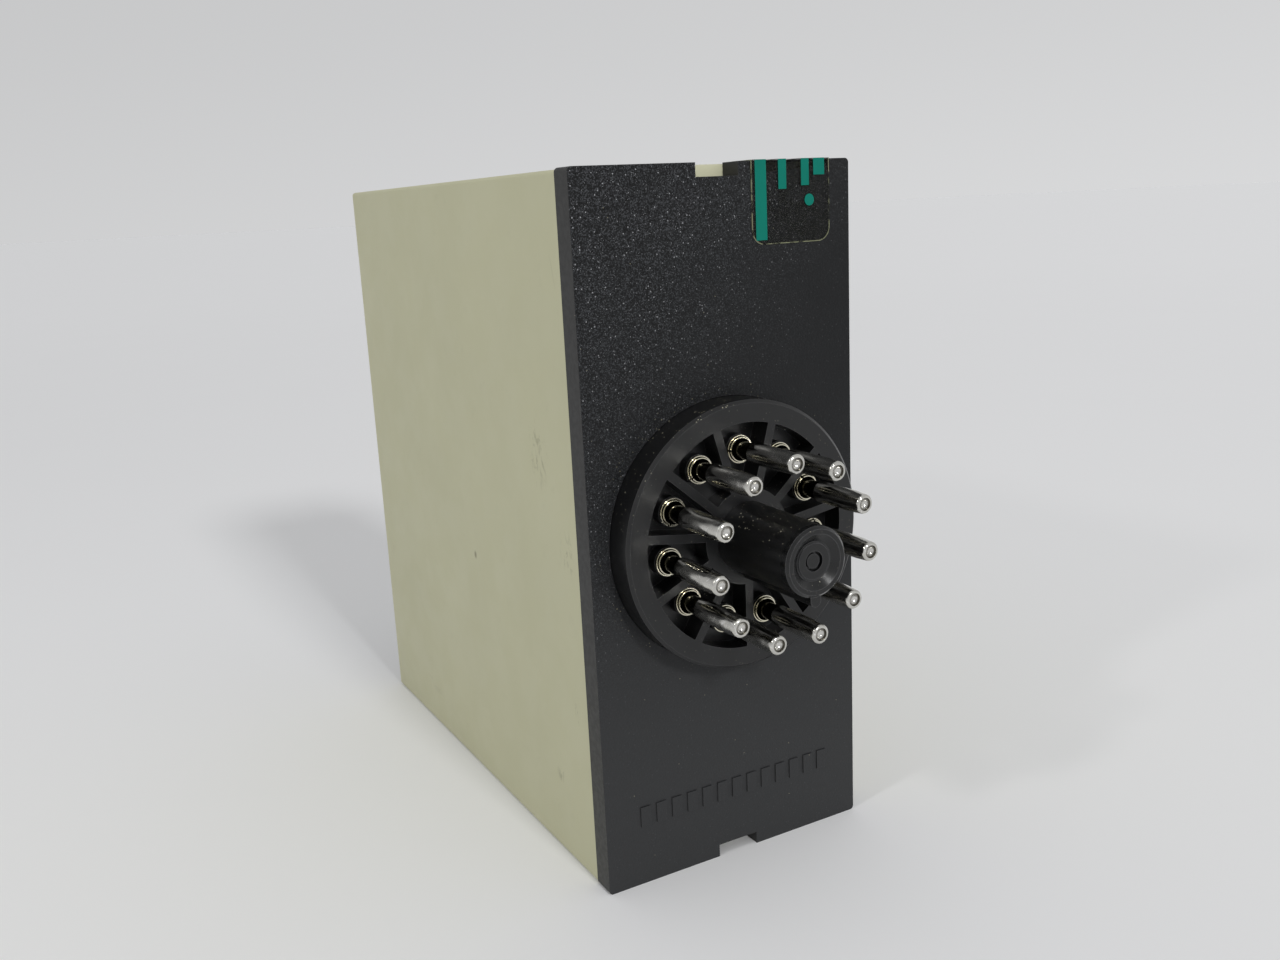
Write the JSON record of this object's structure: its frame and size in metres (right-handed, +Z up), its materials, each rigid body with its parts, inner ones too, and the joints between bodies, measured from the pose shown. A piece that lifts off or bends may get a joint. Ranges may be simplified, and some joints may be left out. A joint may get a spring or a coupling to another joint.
{
  "type": "plug-in relay module",
  "caption": "Tall narrow plug-in relay module with a keyed round plug of straight contact pins, a front adjusting dial and two indicator lights.",
  "frame": {"origin": "on the plug's axis, at the face of the plug disc that seats on the socket", "axes": "+Y along the plug pins and out of the base plate, -Y out of the front with its dial, +Z up along the tall side, +X across the narrow side"},
  "size_m": [0.0356, 0.1037, 0.0811],
  "materials": {
    "housing_plastic": "fine matte, light beige, lightly scuffed",
    "plate_plastic": "black with a fine spark texture that sparkles",
    "plug_plastic": "black, smooth, semi-matt",
    "pin_metal": "bright nickel plate",
    "copper_wire": "enamelled copper",
    "solder": "dull solder",
    "clear_film": "clear glossy film with plain teal print",
    "front_film": "satin printed film",
    "dial_plastic": "semi-matt black",
    "cap_plastic": "teal, satin",
    "case_plastic": "moulded black",
    "white_plastic": "natural nylon",
    "contact_brass": "bright",
    "carbon_track": "dull carbon film",
    "tinned_lead": "tinned",
    "green_lens": "tinted, diffused",
    "red_lens": "tinted, diffused",
    "board": "green solder mask",
    "core_steel": "bare laminated or soft iron",
    "blue_plastic": "moulded, glossy",
    "capacitor_sleeve": "shrunk sleeve",
    "film_case": "dipped box",
    "varistor_coat": "epoxy coat",
    "resistor_coat": "lacquer"
  },
  "bodies": {
    "module": {"housing": "housing_plastic", "base_plate": "plate_plastic", "plug_base": "plug_plastic", "spigot": "plug_plastic", "contact_pin_1": "pin_metal", "contact_pin_2": "pin_metal", "contact_pin_3": "pin_metal", "contact_pin_4": "pin_metal", "contact_pin_5": "pin_metal", "contact_pin_6": "pin_metal", "contact_pin_7": "pin_metal", "contact_pin_8": "pin_metal", "contact_pin_9": "pin_metal", "contact_pin_10": "pin_metal", "contact_pin_11": "pin_metal", "lead_wires": "copper_wire", "solder_tips": "solder", "seal_label": "clear_film", "front_label": "front_film", "potentiometer_case": "case_plastic", "resistance_track": "carbon_track", "potentiometer_terminals": "tinned_lead", "led_green": "green_lens", "led_red": "red_lens", "main_board": "board", "terminal_board": "board", "link_pins": "tinned_lead", "transformer_core": "core_steel", "transformer_bobbin": "white_plastic", "primary_winding": "copper_wire", "secondary_winding": "copper_wire", "transformer_pins": "tinned_lead", "relay_base": "case_plastic", "relay_cover": "blue_plastic", "coil_bobbin": "white_plastic", "coil_winding": "copper_wire", "coil_core": "core_steel", "yoke": "core_steel", "return_spring": "contact_brass", "make_contacts": "contact_brass", "break_contacts": "contact_brass", "relay_pins": "tinned_lead", "smoothing_capacitor": "capacitor_sleeve", "film_capacitor": "film_case", "varistor": "varistor_coat", "rectifier_diodes": "case_plastic", "resistors": "resistor_coat", "control_ic": "case_plastic", "transistors": "case_plastic", "component_leads": "tinned_lead"},
    "dial": {"knob": "dial_plastic", "knob_cap": "cap_plastic", "potentiometer_shaft": "white_plastic", "potentiometer_wiper": "contact_brass"},
    "armature": {"armature": "core_steel"},
    "pusher": {"pusher": "white_plastic"},
    "contact_blades": {"moving_contacts": "contact_brass"}
  },
  "joints": [
    {"name": "dial_turn", "type": "hinge", "parent": "module", "child": "dial", "pos_m": [0, -0.0794, -0.006], "axis": [0, 1, 0], "range_deg": [-135, 135]},
    {"name": "armature_swing", "type": "hinge", "parent": "module", "child": "armature", "pos_m": [-0.0095, -0.0383, 0.008], "axis": [0, 0, 1], "range_deg": [0, 6], "stiffness_Nm_per_rad": 0.02, "springref_deg": -2.86},
    {"name": "pusher_slide", "type": "slide", "parent": "module", "child": "pusher", "axis": [0, 1, 0], "range_m": [0, 0.001]},
    {"name": "blade_bend", "type": "hinge", "parent": "module", "child": "contact_blades", "pos_m": [-0.0107, -0.043, 0.008], "axis": [0, 0, 1], "range_deg": [0, 5.5]}
  ],
  "couplings": [
    {"joint": "pusher_slide", "follows": "armature_swing", "m_per_rad": 0.0092},
    {"joint": "blade_bend", "follows": "armature_swing", "ratio": 0.8846}
  ]
}
